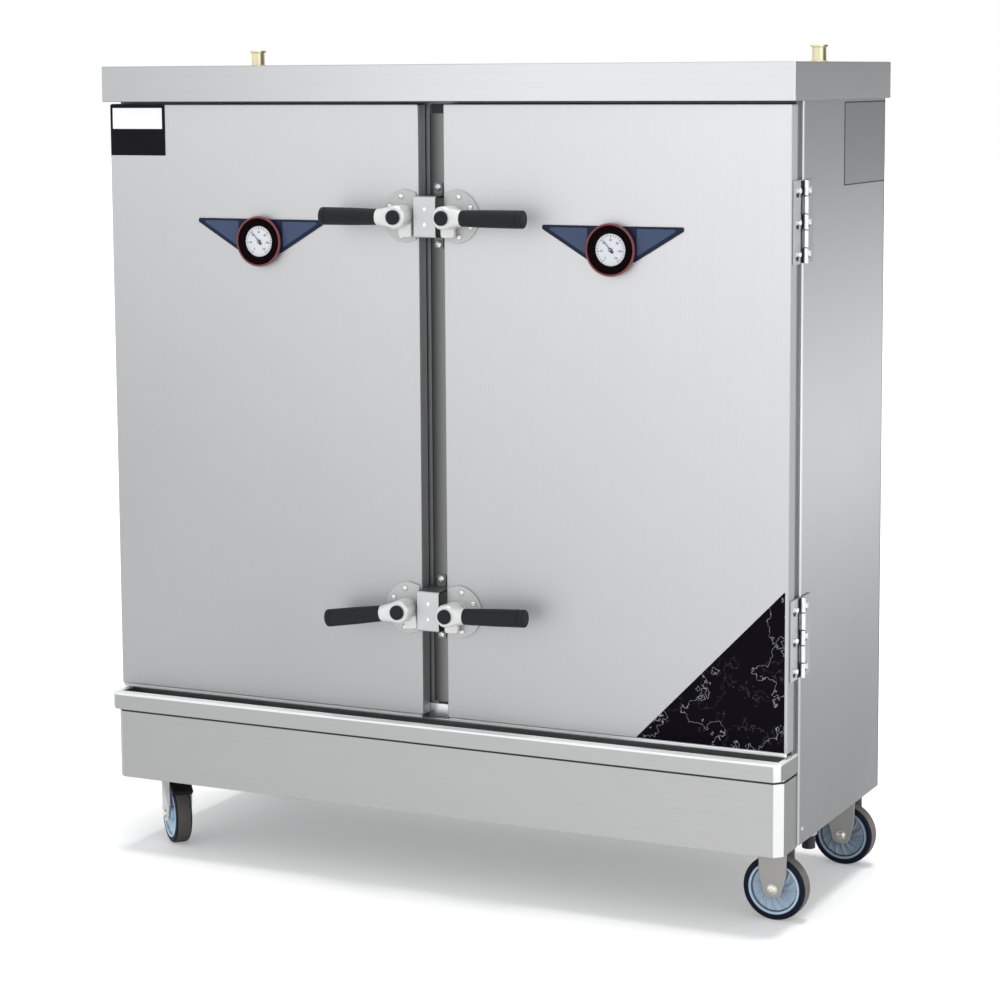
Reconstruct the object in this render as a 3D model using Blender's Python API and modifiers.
# Two-door steamer cabinet on casters: insulated chambers, overlay doors, lever latches, drip trough.
# Metres, +Z up. The front faces -Y, the origin is on the floor under the middle of the cabinet.
import bpy
import bmesh
from math import cos, pi, radians, sin, tau
from mathutils import Matrix, Vector

for old in list(bpy.data.objects):
    bpy.data.objects.remove(old, do_unlink=True)

# Driving sizes of the cabinet
BODY_WIDTH = 1.400
BODY_DEPTH = 0.460
COVER_TOP = 1.546
PANEL_BOTTOM = 0.1505
SHEET = 0.0012
CLEARANCE = 0.0003
OVERRUN = 0.010
WELD_DISTANCE = 0.00001
EDGE_ROUND = 0.0012

# The top cover, with its folded band and return lip
BAND_HEIGHT = 0.0677
BAND_SIDE_OVERHANG = 0.0077
BAND_FRONT_OVERHANG = 0.0667
BAND_REAR_OVERHANG = 0.009

# Outer panels
FLANGE = 0.020
REAR_RIB_HEIGHT = 0.90
REAR_RIB_WIDTH = 0.030
REAR_RIB_PROUD = 0.004
REAR_RIB_PLACE = 0.35
REAR_RIB_MIDDLE = 0.80
INLET_RADIUS = 0.0105
INLET_BORE = 0.0075
INLET_LENGTH = 0.028
INLET_HEIGHT = 0.42
INLET_PLACE = 0.10
GLAND_RADIUS = 0.014
GLAND_BORE = 0.006
GLAND_LENGTH = 0.022
GLAND_HEIGHT = 0.30
GLAND_PLACE = -0.12

# Base frame
BASE_BOTTOM = 0.1568
BASE_HEIGHT = 0.040
END_RAIL = 0.110
LONG_RAIL = 0.045
RAIL_WALL = 0.003
DRAIN_RADIUS = 0.011
DRAIN_BORE = 0.007
DRAIN_BOTTOM = 0.092
DRAIN_PLACE = 0.650
DRAIN_DEPTH = 0.200
DRAIN_NUT_RADIUS = 0.016
DRAIN_NUT_HEIGHT = 0.012
DRAIN_NUT_DROP = 0.030

# Face frame and insulated chambers
FRAME_PROUD = 0.022
FRAME_SIDE_INSET = 0.006
FRAME_BOTTOM = 0.3005
FRAME_WALL = 0.002
POST_HALF = 0.030
WALL = 0.030
SILL_HEIGHT = 0.343
CEILING_HEIGHT = 1.440
SUMP_HEIGHT = 0.235
POST_GROOVE_PLACE = 0.008
POST_GROOVE_WIDTH = 0.003
POST_GROOVE_DEPTH = 0.006

# Vent fittings
VENT_PLACE = 0.605
VENT_DEPTH = 0.354
VENT_HEIGHT = 0.032
VENT_RADIUS = 0.0135
VENT_RIM = 0.0152
VENT_RIM_HEIGHT = 0.007
VENT_FOOT = 0.019
VENT_FOOT_HEIGHT = 0.005
VENT_STEM = 0.0095
VENT_STEM_LENGTH = 0.045
VENT_BORE = 0.006
VENT_CHAMFER = 0.0015
VENT_MARGIN = 0.040
TOP_FALL = 0.0008

# Doors
DOOR_THICKNESS = 0.030
DOOR_STANDOFF = 0.0032
DOOR_GAP = 0.052
DOOR_EDGE_INSET = 0.002
DOOR_TOP_GAP = 0.004
DOOR_BOTTOM = 0.330
GASKET_WIDTH = 0.012
GASKET_PROUD = 0.0028
GASKET_SEAT = 0.006
GASKET_INSET = 0.012

# Hinges
HINGE_HEIGHTS = (1.2685, 0.5315)
HINGE_LENGTH = 0.146
HINGE_LEAF = 0.0025
HINGE_LEAF_WIDTH = 0.042
HINGE_BARREL = 0.005
HINGE_PIN = 0.0026
HINGE_STEPS = 10
HINGE_STANDOFF = 0.0055
HINGE_SETBACK = 0.002
HINGE_RUN = 0.0045
KNUCKLE_SHARES = (0.19, 0.215, 0.19, 0.215, 0.19)

# Lever latches
LATCH_HEIGHTS = (1.2685, 0.535)
LATCH_PLACE = 0.0495
LATCH_PLATE = 0.0045
LATCH_PLATE_RADIUS = 0.0495
LATCH_PLATE_EDGE = 0.029
LATCH_PLATE_FLAT = 0.044
COLLAR_RADIUS = 0.020
COLLAR_LENGTH = 0.005
PIN_RADIUS = 0.005
PIN_LENGTH = 0.040
HUB_RADIUS = 0.0205
HUB_LENGTH = 0.046
NOSE_THICKNESS = 0.012
NOSE_INNER = 0.020
NOSE_OUTER = 0.008
NOSE_REACH = 0.038
NOSE_FRONT = 0.0235
NECK_RADIUS = 0.0175
NECK_END_RADIUS = 0.0152
NECK_END = 0.0365
GRIP_AXIS = 0.048
GRIP_LENGTH = 0.1235
GRIP_RADIUS = 0.0165
GRIP_TIP_RADIUS = 0.0150
GRIP_ROUND = 0.004
GRIP_BORE = 0.0075
TANG_RADIUS = 0.0072
TANG_LENGTH = 0.070
LEVER_TILTS = {(-1, 1.2685): 0.0, (1, 1.2685): 0.0, (-1, 0.535): radians(9), (1, 0.535): radians(-3)}

# Catch brackets on the post
CATCH_WIDTH = 0.045
CATCH_HEIGHT = 0.076
CATCH_SHEET = 0.003
CATCH_FRONT = 0.0825
CATCH_EAR = 0.023
CATCH_BEND = 0.006
BEND_STEPS = 4

# Thermometers
GAUGE_PLACE = 0.362
GAUGE_HEIGHT = 1.2155
GAUGE_RADIUS = 0.0445
GAUGE_DEPTH = 0.013
GAUGE_LIP = 0.0305
GAUGE_RECESS = 0.005
GAUGE_STEM = 0.0045
GAUGE_STEM_LENGTH = 0.070
GAUGE_HOLE_PLAY = 0.0005
SPINDLE_RADIUS = 0.0012
SPINDLE_LENGTH = 0.0035
NEEDLE_LENGTH = 0.024
NEEDLE_TAIL = 0.008
NEEDLE_WIDTH = 0.0022
NEEDLE_HUB = 0.0034
NEEDLE_THICKNESS = 0.0008
NEEDLE_LIFT = 0.0012
NEEDLE_REST = radians(50)

# Drip trough and apron
TROUGH_HALF = 0.698
TROUGH_FRONT = 0.0982
TROUGH_CHAMFER = 0.0112
TROUGH_BOTTOM = 0.288
TROUGH_TOP = 0.320
TROUGH_WALL = 0.0025
TROUGH_BACK = 0.0265
APRON_HALF = 0.697
APRON_FRONT = 0.0831
APRON_CHAMFER = 0.015
APRON_BOTTOM = 0.148
APRON_SHEET = 0.0015

# Heaters and tray racks
HEATER_TUBE = 0.006
HEATER_HEIGHT = 0.268
HEATER_FRONT = 0.050
HEATER_SPAN = 0.200
HEATER_PITCH = 0.080
HEATER_FLANGE = 0.060
HEATER_FLANGE_THICKNESS = 0.006
HEATER_BEND_STEPS = 6
RACK_LEVELS = 12
RACK_POST = 0.012
RACK_FRONT = 0.045
RACK_BACK = 0.385
RACK_RAIL_WIDTH = 0.020
RACK_RAIL_THICKNESS = 0.002
RACK_TIE = 0.008
RACK_FIRST = 0.380
RACK_PITCH = 0.087
RACK_WALL_GAP = 0.003
RACK_TOP = 1.400

# Casters
WHEEL_RADIUS = 0.060
WHEEL_WIDTH = 0.033
HUB_RIM = 0.0500
HUB_DISC = 0.0430
HUB_WEB = 0.010
HUB_CORE = 0.0130
HUB_RIBS = 8
HUB_RIB_WIDTH = 0.003
HUB_RIB_SINK = 0.0015
AXLE_RADIUS = 0.005
AXLE_PLAY = 0.0003
AXLE_HALF = 0.0300
NUT_RADIUS = 0.0095
NUT_LENGTH = 0.005
TYRE_ROUND = 0.007
HUB_PROUD = 0.0015
CASTER_INSET = 0.0536
CASTER_DEPTH = 0.0365
CASTER_PLATE_LONG = 0.098
CASTER_PLATE_SHORT = 0.066
CASTER_PLATE = 0.003
RACE_RADIUS = 0.026
RACE_HEIGHT = 0.008
CROWN_THICKNESS = 0.003
FORK_HALF = 0.0215
FORK_SHEET = 0.003
FORK_TOP_HALF = 0.027
FORK_TIP = 0.0125
FORK_TIP_STEPS = 6
CASTER_TRAIL = 0.040
FRONT_LEFT_HEADING = radians(47)
REAR_LEFT_HEADING = radians(105)
ROUND_STEPS = 24
WHEEL_STEPS = 24
LATHE_STEPS = 16
SMALL_STEPS = 12

parts = bpy.data.collections.new("steamer_cabinet")
cutters = bpy.data.collections.new("cutters")
for group in (parts, cutters):
    bpy.context.scene.collection.children.link(group)

half_width = BODY_WIDTH / 2
cover_under = COVER_TOP - SHEET
band_bottom = COVER_TOP - BAND_HEIGHT
panel_top = cover_under - CLEARANCE
frame_half = half_width - FRAME_SIDE_INSET
door_rear = FRAME_PROUD + DOOR_STANDOFF
door_front = door_rear + DOOR_THICKNESS
door_outer = half_width - DOOR_EDGE_INSET
door_inner = DOOR_GAP / 2
door_top = band_bottom - DOOR_TOP_GAP
base_top = BASE_BOTTOM + BASE_HEIGHT
cavity_outer = half_width - SHEET - CLEARANCE - WALL
rear_skin = BODY_DEPTH - SHEET - CLEARANCE


def material(name, colour, roughness, metallic=0.0):
    made = bpy.data.materials.new(name)
    made.use_nodes = True
    shader = made.node_tree.nodes["Principled BSDF"]
    shader.inputs["Base Color"].default_value = (*colour, 1.0)
    shader.inputs["Roughness"].default_value = roughness
    shader.inputs["Metallic"].default_value = metallic
    return made


def finish(obj, made, group=None):
    """Put an object in its collection and give it one material."""
    (group or parts).objects.link(obj)
    if group is cutters:
        obj.hide_render = True
        obj.display_type = "WIRE"
    obj.data.materials.clear()
    obj.data.materials.append(made)
    return obj


def object_from_bmesh(name, shape, made, group=None, place=(0, 0, 0)):
    bmesh.ops.recalc_face_normals(shape, faces=shape.faces)
    mesh = bpy.data.meshes.new(name)
    shape.to_mesh(mesh)
    shape.free()
    obj = bpy.data.objects.new(name, mesh)
    obj.location = place
    return finish(obj, made, group)


def block(name, low, high, made, group=None):
    """A box between two corners, with its origin in its middle."""
    low, high = Vector(low), Vector(high)
    shape = bmesh.new()
    bmesh.ops.create_cube(shape, size=1.0)
    bmesh.ops.scale(shape, vec=high - low, verts=shape.verts)
    return object_from_bmesh(name, shape, made, group, (low + high) / 2)


def rod(name, radius, start, end, made, group=None, end_radius=None, steps=ROUND_STEPS):
    """A cylinder or cone from one point to another."""
    start, end = Vector(start), Vector(end)
    shape = bmesh.new()
    tip = radius if end_radius is None else end_radius
    bmesh.ops.create_cone(shape, cap_ends=True, segments=steps, radius1=radius, radius2=tip,
                          depth=(end - start).length)
    turn = (end - start).to_track_quat("Z", "Y").to_matrix()
    bmesh.ops.rotate(shape, cent=(0, 0, 0), matrix=turn, verts=shape.verts)
    obj = object_from_bmesh(name, shape, made, group, (start + end) / 2)
    smooth(obj)
    return obj


def smooth(obj):
    obj.data.shade_smooth()
    obj.data.set_sharp_from_angle(angle=radians(35))


def turned(name, profile, place, turn, made, steps=ROUND_STEPS, group=None):
    """A closed profile of (radius, height) points, turned about its own Z axis by a Screw modifier."""
    mesh = bpy.data.meshes.new(name)
    verts = [(r, 0, z) for r, z in profile]
    closed = profile[0][0] > 0
    count = len(verts)
    edges = [(i, (i + 1) % count) for i in range(count if closed else count - 1)]
    mesh.from_pydata(verts, edges, [])
    obj = bpy.data.objects.new(name, mesh)
    obj.location = place
    obj.rotation_euler = turn
    finish(obj, made, group)
    screw = obj.modifiers.new("Turn", "SCREW")
    screw.steps = steps
    screw.render_steps = steps
    screw.use_merge_vertices = True
    screw.merge_threshold = WELD_DISTANCE
    screw.use_smooth_shade = False
    return obj


def sheet_shape(name, outline, thickness, place, turn, made, group=None):
    """A flat outline filled and given a thickness, made a mesh so that it can be cut and joined."""
    curve = bpy.data.curves.new(name, "CURVE")
    curve.dimensions = "2D"
    curve.fill_mode = "BOTH"
    curve.extrude = thickness / 2
    spline = curve.splines.new("POLY")
    spline.points.add(len(outline) - 1)
    for point, (u, v) in zip(spline.points, outline):
        point.co = (u, v, 0, 1)
    spline.use_cyclic_u = True
    return mesh_of_curve(name, curve, place, turn, made, group)


def mesh_of_curve(name, curve, place, turn, made, group=None):
    guide = bpy.data.objects.new(name + "_outline", curve)
    cutters.objects.link(guide)
    bpy.context.view_layer.update()
    seen = guide.evaluated_get(bpy.context.evaluated_depsgraph_get())
    mesh = bpy.data.meshes.new_from_object(seen)
    bpy.data.objects.remove(guide, do_unlink=True)
    shape = bmesh.new()
    shape.from_mesh(mesh)
    bpy.data.meshes.remove(mesh)
    bmesh.ops.remove_doubles(shape, verts=shape.verts, dist=WELD_DISTANCE)
    obj = object_from_bmesh(name, shape, made, group, place)
    obj.rotation_euler = turn
    return obj


def bent_tube(name, points, radius, made, group=None):
    """A round bar along a list of points, made a mesh."""
    curve = bpy.data.curves.new(name, "CURVE")
    curve.dimensions = "3D"
    curve.bevel_depth = radius
    curve.bevel_resolution = 1
    curve.use_fill_caps = True
    spline = curve.splines.new("POLY")
    spline.points.add(len(points) - 1)
    for point, place in zip(spline.points, points):
        point.co = (*place, 1)
    return mesh_of_curve(name, curve, (0, 0, 0), (0, 0, 0), made, group)


def arc(centre, radius, start, end, steps):
    """Points on a circle from one angle to another, both ends included."""
    turns = [start + (end - start) * i / steps for i in range(steps + 1)]
    return [(centre[0] + radius * cos(a), centre[1] + radius * sin(a)) for a in turns]


def combine(obj, other, operation):
    """Cut or join with another mesh, which is kept among the cutters."""
    if other.name in parts.objects:
        parts.objects.unlink(other)
        cutters.objects.link(other)
    other.hide_render = True
    other.display_type = "WIRE"
    change = obj.modifiers.new(operation.title(), "BOOLEAN")
    change.operation = operation
    change.solver = "EXACT"
    change.object = other
    return obj


def cut(obj, *others):
    for other in others:
        combine(obj, other, "DIFFERENCE")
    return obj


def join(obj, *others):
    for other in others:
        combine(obj, other, "UNION")
    return obj


def crease_across(obj, y, fall):
    """A crease across the top of a block, behind which the top falls to the rear."""
    shape = bmesh.new()
    shape.from_mesh(obj.data)
    everything = shape.verts[:] + shape.edges[:] + shape.faces[:]
    line = y - obj.location.y
    bmesh.ops.bisect_plane(shape, geom=everything, plane_co=(0, line, 0), plane_no=(0, 1, 0))
    for vert in shape.verts:
        if vert.co.y > line + OVERRUN and vert.co.z > 0:
            vert.co.z -= fall
    shape.to_mesh(obj.data)
    shape.free()


def soften(obj, width, angle=40):
    """Rounded edges where faces meet sharply."""
    bevel = obj.modifiers.new("Edge", "BEVEL")
    bevel.width = width
    bevel.segments = 1
    bevel.limit_method = "ANGLE"
    bevel.angle_limit = radians(angle)
    return obj


def axis_empty(name, place):
    empty = bpy.data.objects.new(name, None)
    empty.location = place
    parts.objects.link(empty)
    return empty


def hang(empty, *objects):
    """Parent objects to an axis, keeping their places."""
    for obj in objects:
        obj.parent = empty
        obj.matrix_parent_inverse = Matrix.Translation(-empty.location)


steel = material("brushed_steel", (0.62, 0.63, 0.65), 0.32, 1.0)
dark_steel = material("post_steel", (0.30, 0.31, 0.32), 0.40, 1.0)
liner_steel = material("liner_steel", (0.55, 0.56, 0.57), 0.38, 1.0)
cast_metal = material("cast_metal", (0.70, 0.71, 0.70), 0.35, 0.9)
zinc = material("zinc_plate", (0.42, 0.42, 0.40), 0.45, 0.9)
brass = material("brass", (0.72, 0.62, 0.38), 0.35, 1.0)
black_rubber = material("black_rubber", (0.02, 0.02, 0.022), 0.55)
seal_rubber = material("seal_rubber", (0.55, 0.53, 0.50), 0.70)
black_plastic = material("black_plastic", (0.025, 0.025, 0.03), 0.40)
blue_plastic = material("blue_grey_plastic", (0.30, 0.38, 0.46), 0.35)
needle_paint = material("needle_paint", (0.05, 0.05, 0.06), 0.50)


def make_top_cover():
    """Folded cover: a lid with a deep band and a lip that returns to the panels all round."""
    outer_x = half_width + BAND_SIDE_OVERHANG
    front = -BAND_FRONT_OVERHANG
    rear = BODY_DEPTH + BAND_REAR_OVERHANG
    cover = block("top_cover", (-outer_x, front, band_bottom), (outer_x, rear, COVER_TOP), steel)
    crease_across(cover, VENT_DEPTH - VENT_MARGIN, TOP_FALL)
    inside = block("cover_inside", (SHEET - outer_x, front + SHEET, band_bottom + SHEET),
                   (outer_x - SHEET, rear - SHEET, cover_under), steel, cutters)
    mouth_x = half_width + CLEARANCE
    mouth = block("cover_mouth", (-mouth_x, -FRAME_PROUD - CLEARANCE, band_bottom - OVERRUN),
                  (mouth_x, BODY_DEPTH + CLEARANCE, band_bottom + SHEET + OVERRUN), steel, cutters)
    cut(cover, inside, mouth)
    for side in (-1, 1):
        x = side * VENT_PLACE
        hole = rod("cover_vent_hole", VENT_STEM + CLEARANCE, (x, VENT_DEPTH, cover_under - OVERRUN),
                   (x, VENT_DEPTH, COVER_TOP + OVERRUN), steel, cutters, steps=LATHE_STEPS)
        cut(cover, hole)


def make_side_panel(side, name):
    """One folded sheet with a flange at its front and at its rear."""
    low_x, high_x = sorted((side * half_width, side * (half_width - FLANGE)))
    panel = block(name, (low_x, 0, PANEL_BOTTOM), (high_x, rear_skin, panel_top), steel)
    low_x, high_x = sorted((side * (half_width - SHEET), side * (half_width - FLANGE - OVERRUN)))
    inside = block(name + "_inside", (low_x, SHEET, PANEL_BOTTOM - OVERRUN),
                   (high_x, rear_skin - SHEET, panel_top + OVERRUN), steel, cutters)
    return cut(panel, inside)


def make_rear_panel():
    """Back sheet with pressed ribs, a welded water inlet and the empty gland of the supply cable."""
    low_y = BODY_DEPTH - SHEET
    panel = block("rear_panel", (-half_width, low_y, PANEL_BOTTOM), (half_width, BODY_DEPTH, panel_top),
                  steel)
    low_z = REAR_RIB_MIDDLE - REAR_RIB_HEIGHT / 2
    high_z = REAR_RIB_MIDDLE + REAR_RIB_HEIGHT / 2
    for x in (-REAR_RIB_PLACE, 0, REAR_RIB_PLACE):
        rib = block("rear_rib", (x - REAR_RIB_WIDTH / 2, low_y + SHEET / 2, low_z),
                    (x + REAR_RIB_WIDTH / 2, BODY_DEPTH + REAR_RIB_PROUD, high_z), steel, cutters)
        join(panel, soften(rib, REAR_RIB_PROUD / 2))
    for x, z, radius, bore, length in (
            (INLET_PLACE, INLET_HEIGHT, INLET_RADIUS, INLET_BORE, INLET_LENGTH),
            (GLAND_PLACE, GLAND_HEIGHT, GLAND_RADIUS, GLAND_BORE, GLAND_LENGTH)):
        join(panel, rod("rear_fitting", radius, (x, low_y + SHEET / 2, z), (x, BODY_DEPTH + length, z),
                        steel, cutters, steps=SMALL_STEPS))
        cut(panel, rod("rear_bore", bore, (x, low_y - OVERRUN, z), (x, BODY_DEPTH + length + OVERRUN, z),
                       steel, cutters, steps=SMALL_STEPS))


def make_base_frame():
    """Welded frame that carries the chambers and the casters, with a drain pipe at each side."""
    outer_x = half_width - SHEET - CLEARANCE
    front = SHEET + CLEARANCE
    rear = rear_skin - SHEET - CLEARANCE
    frame = block("base_frame", (-outer_x, front, BASE_BOTTOM), (outer_x, rear, base_top), steel)
    channel = block("base_channel", (RAIL_WALL - outer_x, front + RAIL_WALL, BASE_BOTTOM + RAIL_WALL),
                    (outer_x - RAIL_WALL, rear - RAIL_WALL, base_top + OVERRUN), steel, cutters)
    cut(frame, channel)
    for side in (-1, 1):
        low_x, high_x = sorted((side * LONG_RAIL / 2, side * (outer_x - END_RAIL)))
        low_y, high_y = front + LONG_RAIL, rear - LONG_RAIL
        cut(channel, block("bay_wall", (low_x - RAIL_WALL, low_y - RAIL_WALL, BASE_BOTTOM - OVERRUN),
                           (high_x + RAIL_WALL, high_y + RAIL_WALL, base_top + 2 * OVERRUN),
                           steel, cutters))
        cut(frame, block("base_bay", (low_x, low_y, BASE_BOTTOM - OVERRUN),
                         (high_x, high_y, base_top + OVERRUN), steel, cutters))
        x = side * DRAIN_PLACE
        join(frame, rod("drain_pipe", DRAIN_RADIUS, (x, DRAIN_DEPTH, DRAIN_BOTTOM),
                        (x, DRAIN_DEPTH, base_top), steel, cutters, steps=SMALL_STEPS))
        nut_top = BASE_BOTTOM - DRAIN_NUT_DROP
        join(frame, rod("drain_nut", DRAIN_NUT_RADIUS, (x, DRAIN_DEPTH, nut_top - DRAIN_NUT_HEIGHT),
                        (x, DRAIN_DEPTH, nut_top), steel, cutters, steps=6))
        cut(frame, rod("drain_bore", DRAIN_BORE, (x, DRAIN_DEPTH, DRAIN_BOTTOM - OVERRUN),
                       (x, DRAIN_DEPTH, base_top + OVERRUN), steel, cutters, steps=SMALL_STEPS))


def make_face_frame():
    """Front frame that the doors close on, with the post between the two openings."""
    frame = block("face_frame", (-frame_half, -FRAME_PROUD, FRAME_BOTTOM),
                  (frame_half, -CLEARANCE, panel_top), dark_steel)
    wall = FRAME_WALL
    hollow = block("face_hollow", (wall - frame_half, wall - FRAME_PROUD, FRAME_BOTTOM + wall),
                   (frame_half - wall, OVERRUN, panel_top - wall), dark_steel, cutters)
    core_x = cavity_outer + wall
    cut(hollow, block("mouth_wall", (-core_x, -FRAME_PROUD - OVERRUN, SILL_HEIGHT - wall),
                      (core_x, 2 * OVERRUN, CEILING_HEIGHT + wall), dark_steel, cutters))
    cut(frame, hollow)
    for side in (-1, 1):
        low_x, high_x = sorted((side * POST_HALF, side * cavity_outer))
        cut(frame, block("bay_mouth", (low_x, -FRAME_PROUD - OVERRUN, SILL_HEIGHT),
                         (high_x, OVERRUN, CEILING_HEIGHT), dark_steel, cutters))
        x = side * POST_GROOVE_PLACE
        cut(frame, block("post_groove", (x - POST_GROOVE_WIDTH / 2, -FRAME_PROUD - OVERRUN, SILL_HEIGHT),
                         (x + POST_GROOVE_WIDTH / 2, POST_GROOVE_DEPTH - FRAME_PROUD, CEILING_HEIGHT),
                         dark_steel, cutters))


def make_chamber(side, name):
    """Insulated box: steel liner and foam as one wall, with a water sump, a steam outlet and a drain."""
    outer_x = half_width - SHEET - CLEARANCE
    front = SHEET + CLEARANCE
    rear = rear_skin - SHEET - CLEARANCE
    low_x, high_x = sorted((side * CLEARANCE, side * outer_x))
    chamber = block(name, (low_x, front, base_top + CLEARANCE), (high_x, rear, panel_top), liner_steel)
    low_x, high_x = sorted((side * POST_HALF, side * cavity_outer))
    cut(chamber, block(name + "_cavity", (low_x, front - OVERRUN, SUMP_HEIGHT),
                       (high_x, rear - WALL, CEILING_HEIGHT), liner_steel, cutters))
    x = side * VENT_PLACE
    cut(chamber, rod("steam_outlet", VENT_STEM + CLEARANCE, (x, VENT_DEPTH, CEILING_HEIGHT - OVERRUN),
                     (x, VENT_DEPTH, panel_top + OVERRUN), liner_steel, cutters, steps=LATHE_STEPS))
    x = side * DRAIN_PLACE
    cut(chamber, rod("sump_drain", DRAIN_BORE, (x, DRAIN_DEPTH, base_top - OVERRUN),
                     (x, DRAIN_DEPTH, SUMP_HEIGHT + OVERRUN), liner_steel, cutters, steps=SMALL_STEPS))


def make_heater(side, name):
    """Immersion heater: one looped tube from a flange on the rear wall of the sump."""
    middle = side * (POST_HALF + cavity_outer) / 2
    rear = rear_skin - SHEET - CLEARANCE - WALL - CLEARANCE
    bend = HEATER_PITCH / 2
    path = [(middle - HEATER_PITCH * 1.5, rear - HEATER_FLANGE_THICKNESS / 2)]
    for pass_number in range(3):
        x = middle + (pass_number - 1) * HEATER_PITCH
        forward = pass_number % 2 == 0
        if forward:
            path += arc((x, HEATER_FRONT + bend), bend, pi, tau, HEATER_BEND_STEPS)
        else:
            path += arc((x, HEATER_SPAN), bend, pi, 0, HEATER_BEND_STEPS)
    path.append((middle + HEATER_PITCH * 1.5, rear - HEATER_FLANGE_THICKNESS / 2))
    points = [(x, y, HEATER_HEIGHT) for x, y in path]
    heater = bent_tube(name, points, HEATER_TUBE, steel)
    half_z = HEATER_FLANGE / 2
    half_x = HEATER_PITCH * 1.5 + half_z
    low = (middle - half_x, rear - HEATER_FLANGE_THICKNESS, HEATER_HEIGHT - half_z)
    high = (middle + half_x, rear, HEATER_HEIGHT + half_z)
    flange = block(name + "_flange", low, high, steel, cutters)
    join(heater, flange)


def make_rack(side, name):
    """Welded tray rack: four posts, a runner at each level on both sides, and two cross ties."""
    inner = POST_HALF + RACK_WALL_GAP
    outer = cavity_outer - RACK_WALL_GAP
    floor = SUMP_HEIGHT + CLEARANCE
    half_post = RACK_POST / 2
    rack = None
    for wall, inward in ((inner, 1), (outer, -1)):
        for y in (RACK_FRONT, RACK_BACK):
            low_x, high_x = sorted((side * wall, side * (wall + inward * RACK_POST)))
            title, group = (name, parts) if rack is None else ("rack_post", cutters)
            post = block(title, (low_x, y, floor), (high_x, y + RACK_POST, RACK_TOP), steel, group)
            rack = post if rack is None else join(rack, post)
        for level in range(RACK_LEVELS):
            z = RACK_FIRST + level * RACK_PITCH
            root, edge = wall + inward * half_post, wall + inward * RACK_RAIL_WIDTH
            low_x, high_x = sorted((side * root, side * edge))
            join(rack, block("rack_runner", (low_x, RACK_FRONT + half_post, z),
                             (high_x, RACK_BACK + half_post, z + RACK_RAIL_THICKNESS), steel, cutters))
    for y in (RACK_FRONT, RACK_BACK):
        middle = y + half_post
        low_x, high_x = sorted((side * (inner + half_post), side * (outer - half_post)))
        join(rack, block("rack_tie", (low_x, middle - RACK_TIE / 2, SILL_HEIGHT - RACK_TIE),
                         (high_x, middle + RACK_TIE / 2, SILL_HEIGHT), steel, cutters))


def make_vent(side, name):
    """Brass steam vent: foot, column and rim on a stem that drops into the chamber, bored through."""
    z = COVER_TOP + CLEARANCE
    top = VENT_HEIGHT
    profile = [
        (VENT_BORE, top), (VENT_RIM - VENT_CHAMFER, top), (VENT_RIM, top - VENT_CHAMFER),
        (VENT_RIM, top - VENT_RIM_HEIGHT), (VENT_RADIUS, top - VENT_RIM_HEIGHT - VENT_CHAMFER),
        (VENT_RADIUS, VENT_FOOT_HEIGHT), (VENT_FOOT, VENT_FOOT_HEIGHT), (VENT_FOOT, 0),
        (VENT_STEM, 0), (VENT_STEM, -VENT_STEM_LENGTH), (VENT_BORE, -VENT_STEM_LENGTH)]
    turned(name, profile, (side * VENT_PLACE, VENT_DEPTH, z), (0, 0, 0), brass, steps=LATHE_STEPS)


def plan_outline(half, front, chamfer, rear):
    """Plan of the trough or the apron: straight sides and chamfered front corners."""
    return [(-half, rear), (-half, chamfer - front), (chamfer - half, -front),
            (half - chamfer, -front), (half, chamfer - front), (half, rear)]


def plan_prism(name, outline, low, high, made, group=None):
    return sheet_shape(name, outline, high - low, (0, 0, (low + high) / 2), (0, 0, 0), made, group)


def make_trough():
    """Open drip trough along the front, with ends that wrap the face frame."""
    outline = plan_outline(TROUGH_HALF, TROUGH_FRONT, TROUGH_CHAMFER, -CLEARANCE)
    trough = plan_prism("drip_trough", outline, TROUGH_BOTTOM, TROUGH_TOP, steel)
    notch_x = frame_half + CLEARANCE
    cut(trough, block("trough_notch", (-notch_x, -FRAME_PROUD - CLEARANCE, TROUGH_BOTTOM - OVERRUN),
                      (notch_x, OVERRUN, TROUGH_TOP + OVERRUN), steel, cutters))
    wall = TROUGH_WALL
    pocket = plan_outline(TROUGH_HALF - wall, TROUGH_FRONT - wall, TROUGH_CHAMFER - wall / 2, -TROUGH_BACK)
    floor = TROUGH_BOTTOM + SHEET
    cut(trough, plan_prism("trough_pocket", pocket, floor, TROUGH_TOP + OVERRUN, steel, cutters))


def make_apron():
    """Front apron: a folded sheet below the trough with chamfered corners."""
    outline = plan_outline(APRON_HALF, APRON_FRONT, APRON_CHAMFER, -CLEARANCE)
    top = TROUGH_BOTTOM - CLEARANCE
    apron = plan_prism("front_apron", outline, APRON_BOTTOM, top, steel)
    sheet = APRON_SHEET
    inside = plan_outline(APRON_HALF - sheet, APRON_FRONT - sheet, APRON_CHAMFER - sheet / 2, OVERRUN)
    cut(apron, plan_prism("apron_inside", inside, APRON_BOTTOM - OVERRUN, top - sheet, steel, cutters))


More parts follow.
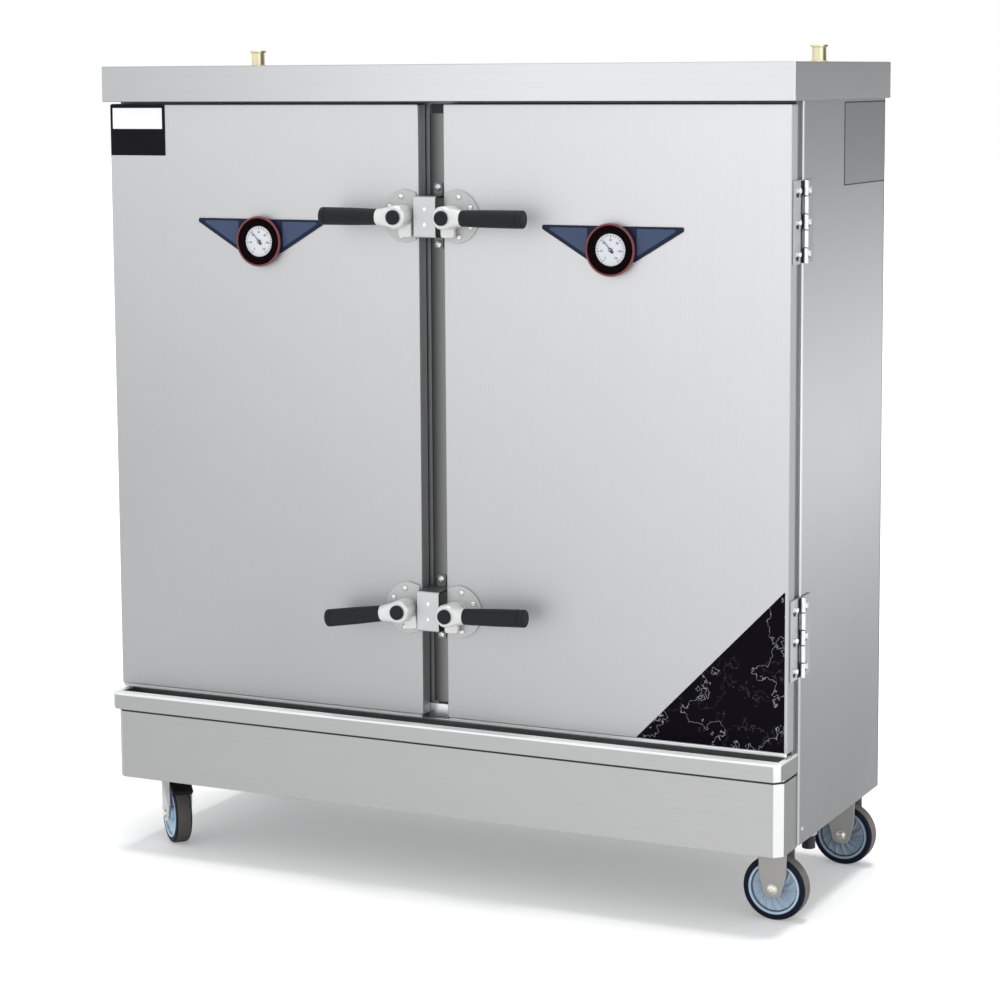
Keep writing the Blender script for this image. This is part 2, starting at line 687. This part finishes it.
def make_door(side, name):
    """Foamed door slab with a channel for its seal and a hole for the thermometer's stem."""
    low_x, high_x = sorted((side * door_inner, side * door_outer))
    door = block(name, (low_x, -door_front, DOOR_BOTTOM), (high_x, -door_rear, door_top), steel)
    soften(door, EDGE_ROUND)
    seat = GASKET_SEAT + CLEARANCE
    ring = ring_block(name + "_channel", side, GASKET_INSET - CLEARANCE, GASKET_WIDTH + 2 * CLEARANCE,
                      -door_rear - seat, OVERRUN - door_rear, steel, cutters)
    cut(door, ring)
    x = side * GAUGE_PLACE
    hole = rod("stem_hole", GAUGE_STEM + GAUGE_HOLE_PLAY, (x, -door_front - OVERRUN, GAUGE_HEIGHT),
               (x, OVERRUN - door_rear, GAUGE_HEIGHT), steel, cutters, steps=SMALL_STEPS)
    cut(door, hole)
    return door


def ring_block(name, side, inset, width, low_y, high_y, made, group=None):
    """A rectangular ring that follows the door's edge at an inset."""
    low_x, high_x = sorted((side * (door_inner + inset), side * (door_outer - inset)))
    low_z, high_z = DOOR_BOTTOM + inset, door_top - inset
    outline = block(name, (low_x, low_y, low_z), (high_x, high_y, high_z), made, group)
    hollow = block(name + "_inside", (low_x + width, low_y - OVERRUN, low_z + width),
                   (high_x - width, high_y + OVERRUN, high_z - width), made, cutters)
    return cut(outline, hollow)


def make_gasket(side, name):
    """Silicone door seal seated in its channel and pressed on the face frame."""
    ring = ring_block(name, side, GASKET_INSET, GASKET_WIDTH, -door_rear - GASKET_SEAT,
                      GASKET_PROUD - door_rear, seal_rubber)
    return ring


hinge_x = half_width + HINGE_STANDOFF
hinge_y = -HINGE_SETBACK


def knuckle_spans(height):
    """The lowest and highest point of each knuckle, from the top down."""
    top = height + HINGE_LENGTH / 2
    spans = []
    for share in KNUCKLE_SHARES:
        bottom = top - share * HINGE_LENGTH
        spans.append((bottom + CLEARANCE / 2, top - CLEARANCE / 2))
        top = bottom
    return spans


def make_hinge_leaf(side, height, name, on_door):
    """A leaf plate with its knuckles: the body leaf has three and the pin, the door leaf has two."""
    face = door_outer if on_door else half_width
    low_x, high_x = sorted((side * (face + CLEARANCE), side * (face + CLEARANCE + HINGE_LEAF)))
    if on_door:
        low_y, high_y = hinge_y - HINGE_RUN - HINGE_LEAF_WIDTH, hinge_y - HINGE_RUN
    else:
        low_y = hinge_y + HINGE_RUN + HINGE_SETBACK
        high_y = low_y + HINGE_LEAF_WIDTH
    half = HINGE_LENGTH / 2
    leaf = block(name, (low_x, low_y, height - half), (high_x, high_y, height + half), steel)
    x = side * hinge_x
    for number, (bottom, top) in enumerate(knuckle_spans(height)):
        if (number % 2 == 1) != on_door:
            continue
        tab_y = sorted((hinge_y, low_y + SHEET if not on_door else high_y - SHEET))
        tab_x = sorted((side * (face + CLEARANCE), side * (hinge_x - HINGE_PIN)))
        join(leaf, block("hinge_tab", (tab_x[0], tab_y[0], bottom), (tab_x[1], tab_y[1], top), steel,
                         cutters))
        join(leaf, rod("knuckle", HINGE_BARREL, (x, hinge_y, bottom), (x, hinge_y, top), steel, cutters,
                       steps=HINGE_STEPS))
    if on_door:
        cut(leaf, rod("pin_hole", HINGE_PIN + CLEARANCE, (x, hinge_y, height - half - OVERRUN),
                      (x, hinge_y, height + half + OVERRUN), steel, cutters, steps=HINGE_STEPS))
    else:
        join(leaf, rod("hinge_pin", HINGE_PIN, (x, hinge_y, height - half + SHEET),
                       (x, hinge_y, height + half - SHEET), steel, cutters, steps=HINGE_STEPS))
    return leaf


def make_latch_base(side, height, name):
    """Cast plate with a straight inner edge and a round outer one, a collar and the lever's pin."""
    x = LATCH_PLACE
    outline = [(side * LATCH_PLATE_EDGE, -LATCH_PLATE_FLAT)]
    outline += [(side * (x + u), v) for u, v in arc((0, 0), LATCH_PLATE_RADIUS, -pi / 2, pi / 2, 12)]
    outline += [(side * LATCH_PLATE_EDGE, LATCH_PLATE_FLAT)]
    back = -door_front - CLEARANCE
    front = back - LATCH_PLATE
    place = (0, (back + front) / 2, height)
    plate = sheet_shape(name, outline, LATCH_PLATE, place, (pi / 2, 0, 0), cast_metal)
    root = (side * x, back - LATCH_PLATE / 2, height)
    join(plate, rod("latch_collar", COLLAR_RADIUS, root, (side * x, front - COLLAR_LENGTH, height),
                    cast_metal, cutters, steps=ROUND_STEPS))
    join(plate, rod("latch_pin", PIN_RADIUS, root, (side * x, front - PIN_LENGTH, height),
                    cast_metal, cutters, steps=SMALL_STEPS))
    return plate


def lever_frame(side, height):
    """The lever's own frame: on its pin, turned by the tilt that it rests at."""
    tilt = LEVER_TILTS[(side, height)]
    return Matrix.Translation((side * LATCH_PLACE, 0, height)) @ Matrix.Rotation(side * tilt, 4, "Y")


def make_lever(side, height, name):
    """Turning lever: hub on the pin, nose that goes behind the catch, neck and the tang in the grip."""
    back = -door_front - CLEARANCE - LATCH_PLATE - COLLAR_LENGTH - CLEARANCE
    front = back - HUB_LENGTH
    turn = lever_frame(side, height)
    hub = rod(name, HUB_RADIUS, turn @ Vector((0, back, 0)), turn @ Vector((0, front, 0)), cast_metal,
              steps=ROUND_STEPS)
    soften(hub, EDGE_ROUND)
    low_x, high_x = sorted((-side * NOSE_INNER, side * NOSE_OUTER))
    nose = block("lever_nose", (low_x, -door_front - NOSE_FRONT, -NOSE_REACH),
                 (high_x, NOSE_THICKNESS - door_front - NOSE_FRONT, 0), cast_metal, cutters)
    nose.matrix_basis = turn @ Matrix.Translation(nose.location)
    soften(nose, EDGE_ROUND)
    y = -door_front - GRIP_AXIS
    root = turn @ Vector((0, y, 0))
    neck = rod("lever_neck", NECK_RADIUS, root, turn @ Vector((side * NECK_END, y, 0)), cast_metal,
               cutters, end_radius=NECK_END_RADIUS, steps=SMALL_STEPS)
    tip = turn @ Vector((side * (NECK_END + TANG_LENGTH), y, 0))
    tang = rod("lever_tang", TANG_RADIUS, root, tip, cast_metal, cutters, steps=SMALL_STEPS)
    join(hub, nose, neck, tang)
    bore_front = -door_front - CLEARANCE - LATCH_PLATE - PIN_LENGTH - CLEARANCE
    bore = rod("lever_bore", PIN_RADIUS + CLEARANCE, turn @ Vector((0, back + OVERRUN, 0)),
               turn @ Vector((0, bore_front, 0)), cast_metal, cutters, steps=SMALL_STEPS)
    cut(hub, bore)
    return hub


def make_grip(side, height, name):
    """Rubber grip: a sleeve that swells to its tip, pushed over the lever's tang."""
    start = NECK_END + CLEARANCE
    length = GRIP_LENGTH
    bore_end = TANG_LENGTH + CLEARANCE
    profile = [
        (0, length), (GRIP_RADIUS - GRIP_ROUND, length), (GRIP_RADIUS, length - GRIP_ROUND),
        (GRIP_RADIUS, length / 2), (GRIP_TIP_RADIUS, GRIP_ROUND), (GRIP_TIP_RADIUS - GRIP_ROUND / 2, 0),
        (GRIP_BORE, 0), (GRIP_BORE, bore_end), (0, bore_end)]
    y = -door_front - GRIP_AXIS
    grip = turned(name, profile, (0, 0, 0), (0, 0, 0), black_rubber, steps=LATHE_STEPS)
    frame = lever_frame(side, height) @ Matrix.Translation((side * start, y, 0))
    grip.matrix_basis = frame @ Matrix.Rotation(side * pi / 2, 4, "Y")
    return grip


def catch_outline():
    """Side view of the catch: ear, leg, front plate, leg and ear, with round bends."""
    top = CATCH_HEIGHT / 2
    reach = CATCH_FRONT - FRAME_PROUD - CLEARANCE
    bend, sheet = CATCH_BEND, CATCH_SHEET
    upper = [(0, top + CATCH_EAR), (sheet, top + CATCH_EAR)]
    upper += [(sheet, top)]
    upper += arc((reach - bend, top - bend), bend, pi / 2, 0, BEND_STEPS)
    inner = arc((reach - bend, top - bend), bend - sheet, 0, pi / 2, BEND_STEPS) + [(0, top - sheet)]
    outside = upper + [(u, -v) for u, v in reversed(upper)]
    inside = [(u, -v) for u, v in reversed(inner)] + inner
    return outside + inside


def make_catch(height, name):
    """Bridge bracket on the post, open at both sides for the lever noses."""
    place = (0, -FRAME_PROUD - CLEARANCE, height)
    return sheet_shape(name, catch_outline(), CATCH_WIDTH, place, (pi / 2, 0, -pi / 2), steel)


def make_gauge(side, name):
    """Thermometer case with a recessed dial, the needle's spindle and a stem that reaches the steam."""
    front = GAUGE_DEPTH
    floor = front - GAUGE_RECESS
    profile = [
        (0, floor + SPINDLE_LENGTH), (SPINDLE_RADIUS, floor + SPINDLE_LENGTH), (SPINDLE_RADIUS, floor),
        (GAUGE_LIP - EDGE_ROUND, floor), (GAUGE_LIP, front), (GAUGE_RADIUS - 2 * EDGE_ROUND, front),
        (GAUGE_RADIUS, front - 3 * EDGE_ROUND), (GAUGE_RADIUS, 0), (GAUGE_STEM, 0),
        (GAUGE_STEM, -GAUGE_STEM_LENGTH), (0, -GAUGE_STEM_LENGTH)]
    place = (side * GAUGE_PLACE, -door_front - CLEARANCE, GAUGE_HEIGHT)
    return turned(name, profile, place, (pi / 2, 0, 0), black_plastic)


def make_needle(side, name):
    """Pointer with a round hub on the spindle and a short tail, turned to its rest reading."""
    hub = arc((0, 0), NEEDLE_HUB, radians(110), radians(250), 6)
    half = NEEDLE_WIDTH / 2
    tail = [(0, -NEEDLE_HUB), (NEEDLE_TAIL, -half), (NEEDLE_TAIL, half), (0, NEEDLE_HUB)]
    outline = hub + tail
    outline = [(-NEEDLE_LENGTH, 0) if i == 3 else point for i, point in enumerate(outline)]
    lift = GAUGE_DEPTH - GAUGE_RECESS + CLEARANCE + NEEDLE_LIFT
    place = (side * GAUGE_PLACE, -door_front - CLEARANCE - lift, GAUGE_HEIGHT)
    needle = sheet_shape(name, outline, NEEDLE_THICKNESS, place, (pi / 2, NEEDLE_REST, 0), needle_paint)
    y = place[1]
    cut(needle, rod("needle_hole", SPINDLE_RADIUS + CLEARANCE, (place[0], y - OVERRUN, GAUGE_HEIGHT),
                    (place[0], y + OVERRUN, GAUGE_HEIGHT), needle_paint, cutters, steps=SMALL_STEPS))
    return needle


plate_top = BASE_BOTTOM - CLEARANCE
plate_bottom = plate_top - CASTER_PLATE
race_bottom = plate_bottom - RACE_HEIGHT
crown_top = race_bottom - CLEARANCE
crown_bottom = crown_top - CROWN_THICKNESS


def fork_leg_outline():
    """Front view of a fork leg: wide at the top, tapered to a round tip at the axle."""
    tip = arc((0, WHEEL_RADIUS), FORK_TIP, pi, tau, FORK_TIP_STEPS)
    return [(FORK_TOP_HALF, crown_top), (-FORK_TOP_HALF, crown_top)] + tip


def make_fork_leg(name, frame, place, group):
    leg = sheet_shape(name, fork_leg_outline(), FORK_SHEET, (0, 0, 0), (0, 0, 0), zinc, group)
    leg.matrix_basis = frame @ Matrix.Translation((0, place, 0)) @ Matrix.Rotation(pi / 2, 4, "X")
    return leg


def make_fork(name, frame, rigid):
    """Pressed fork: two tapered legs under a crown, with the axle bolt and its nuts."""
    middle = FORK_HALF + FORK_SHEET / 2
    fork = make_fork_leg(name, frame, middle, parts)
    join(fork, make_fork_leg(name + "_leg", frame, -middle, cutters))
    outer = FORK_HALF + FORK_SHEET
    top = plate_top if rigid else crown_top
    crown = block(name + "_crown", (-FORK_TOP_HALF, -outer, crown_bottom), (FORK_TOP_HALF, outer, top), zinc,
                  cutters)
    crown.matrix_basis = frame @ Matrix.Translation(crown.location)
    join(fork, crown)
    axle = rod(name + "_axle", AXLE_RADIUS, frame @ Vector((0, -AXLE_HALF, WHEEL_RADIUS)),
               frame @ Vector((0, AXLE_HALF, WHEEL_RADIUS)), zinc, cutters, steps=SMALL_STEPS)
    join(fork, axle)
    for way in (-1, 1):
        root = frame @ Vector((0, way * (outer - SHEET), WHEEL_RADIUS))
        tip = frame @ Vector((0, way * (outer + NUT_LENGTH), WHEEL_RADIUS))
        join(fork, rod(name + "_nut", NUT_RADIUS, root, tip, zinc, cutters, steps=6))
    return fork


def make_wheel(name, frame):
    """Moulded wheel body: rim, sunk disc with radial ribs on both faces, core and axle bore."""
    half = WHEEL_WIDTH / 2
    core = half + HUB_PROUD
    web = HUB_WEB / 2
    upper = [(0, core), (HUB_CORE, core), (HUB_CORE, web)]
    upper += [(HUB_DISC, web), (HUB_DISC, half), (HUB_RIM, half)]
    profile = upper + [(r, -z) for r, z in reversed(upper)]
    wheel = turned(name, profile, (0, 0, 0), (0, 0, 0), blue_plastic, steps=WHEEL_STEPS)
    place = frame @ Matrix.Translation((0, 0, WHEEL_RADIUS)) @ Matrix.Rotation(pi / 2, 4, "X")
    wheel.matrix_basis = place
    reach = (HUB_DISC + HUB_RIM) / 2
    face = half - HUB_RIB_SINK
    for number in range(HUB_RIBS // 2):
        rib = block(name + "_rib", (-reach, -HUB_RIB_WIDTH / 2, -face), (reach, HUB_RIB_WIDTH / 2, face),
                    blue_plastic, cutters)
        rib.matrix_basis = place @ Matrix.Rotation(tau * number / HUB_RIBS, 4, "Z")
        join(wheel, rib)
    cut(wheel, rod(name + "_bore", AXLE_RADIUS + AXLE_PLAY, place @ Vector((0, 0, -WHEEL_WIDTH)),
                   place @ Vector((0, 0, WHEEL_WIDTH)), blue_plastic, cutters, steps=SMALL_STEPS))
    return wheel


def make_tyre(name, frame):
    """Solid rubber tyre with rounded shoulders, seated on the wheel's rim."""
    half = WHEEL_WIDTH / 2
    seat = HUB_RIM + CLEARANCE
    shoulder = arc((WHEEL_RADIUS - TYRE_ROUND, half - TYRE_ROUND), TYRE_ROUND, pi / 2, 0, 2)
    upper = [(seat, half)] + shoulder
    profile = upper + [(r, -z) for r, z in reversed(upper)]
    tyre = turned(name, profile, (0, 0, 0), (0, 0, 0), black_rubber, steps=WHEEL_STEPS)
    tyre.matrix_basis = frame @ Matrix.Translation((0, 0, WHEEL_RADIUS)) @ Matrix.Rotation(pi / 2, 4, "X")
    return tyre


def make_swivel_plate(name, x, y):
    """Top plate and ball race of a swivel caster, with the king pin under it."""
    plate = caster_plate(name, x, y)
    top = (x, y, plate_bottom + SHEET)
    return join(plate, rod(name + "_race", RACE_RADIUS, (x, y, race_bottom), top, zinc, cutters))


def caster_plate(name, x, y, group=None):
    long_half, short_half = CASTER_PLATE_LONG / 2, CASTER_PLATE_SHORT / 2
    return block(name, (x - long_half, y - short_half, plate_bottom),
                 (x + long_half, y + short_half, plate_top), zinc, group)


make_top_cover()
make_rear_panel()
make_base_frame()
make_face_frame()
make_trough()
make_apron()
for side, word in ((-1, "left"), (1, "right")):
    make_side_panel(side, word + "_side_panel")
    make_chamber(side, word + "_chamber")
    make_heater(side, word + "_heater")
    make_rack(side, word + "_rack")
    make_vent(side, word + "_vent")
    door_axis = axis_empty(word + "_door_axis", (side * hinge_x, hinge_y, 0))
    hang(door_axis, make_door(side, word + "_door"), make_gasket(side, word + "_door_gasket"))
    hang(door_axis, make_gauge(side, word + "_gauge_case"))
    needle_axis = axis_empty(word + "_needle_axis", (side * GAUGE_PLACE, -door_front, GAUGE_HEIGHT))
    hang(door_axis, needle_axis)
    hang(needle_axis, make_needle(side, word + "_gauge_needle"))
    for height, level in zip(HINGE_HEIGHTS, ("upper", "lower")):
        stem = word + "_" + level + "_hinge_"
        make_hinge_leaf(side, height, stem + "body_leaf", False)
        hang(door_axis, make_hinge_leaf(side, height, stem + "door_leaf", True))
    for height, level in zip(LATCH_HEIGHTS, ("upper", "lower")):
        stem = word + "_" + level + "_latch_"
        hang(door_axis, make_latch_base(side, height, stem + "base"))
        lever_axis = axis_empty(stem + "axis", (side * LATCH_PLACE, -door_front, height))
        hang(door_axis, lever_axis)
        hang(lever_axis, make_lever(side, height, stem + "lever"), make_grip(side, height, stem + "grip"))
for height, level in zip(LATCH_HEIGHTS, ("upper", "lower")):
    make_catch(height, level + "_catch_bracket")

caster_x = half_width - CASTER_INSET
for side, word in ((-1, "left"), (1, "right")):
    for y, end in ((CASTER_DEPTH, "front"), (BODY_DEPTH - CASTER_DEPTH, "rear")):
        stem = end + "_" + word + "_caster_"
        x = side * caster_x
        if side > 0:
            frame = Matrix.Translation((x, y, 0))
            fork = make_fork(stem + "fork", frame, True)
            join(fork, caster_plate(stem + "plate", x, y, cutters))
            owner = None
        else:
            make_swivel_plate(stem + "plate", x, y)
            heading = FRONT_LEFT_HEADING if end == "front" else REAR_LEFT_HEADING
            turn = Matrix.Rotation(heading - pi / 2, 4, "Z")
            frame = Matrix.Translation((x, y, 0)) @ turn @ Matrix.Translation((CASTER_TRAIL, 0, 0))
            fork = make_fork(stem + "fork", frame, False)
            owner = axis_empty(stem + "swivel_axis", (x, y, 0))
            hang(owner, fork)
        spin = axis_empty(stem + "wheel_axis", frame @ Vector((0, 0, WHEEL_RADIUS)))
        hang(spin, make_wheel(stem + "wheel", frame), make_tyre(stem + "tyre", frame))
        if owner is not None:
            hang(owner, spin)

# The origin moves back to the middle of the whole cabinet, between the grips and the rear fittings
front_reach = door_front + GRIP_AXIS + GRIP_RADIUS
middle_y = (BODY_DEPTH + INLET_LENGTH - front_reach) / 2
for obj in list(parts.objects) + list(cutters.objects):
    if obj.parent is None:
        obj.location.y -= middle_y
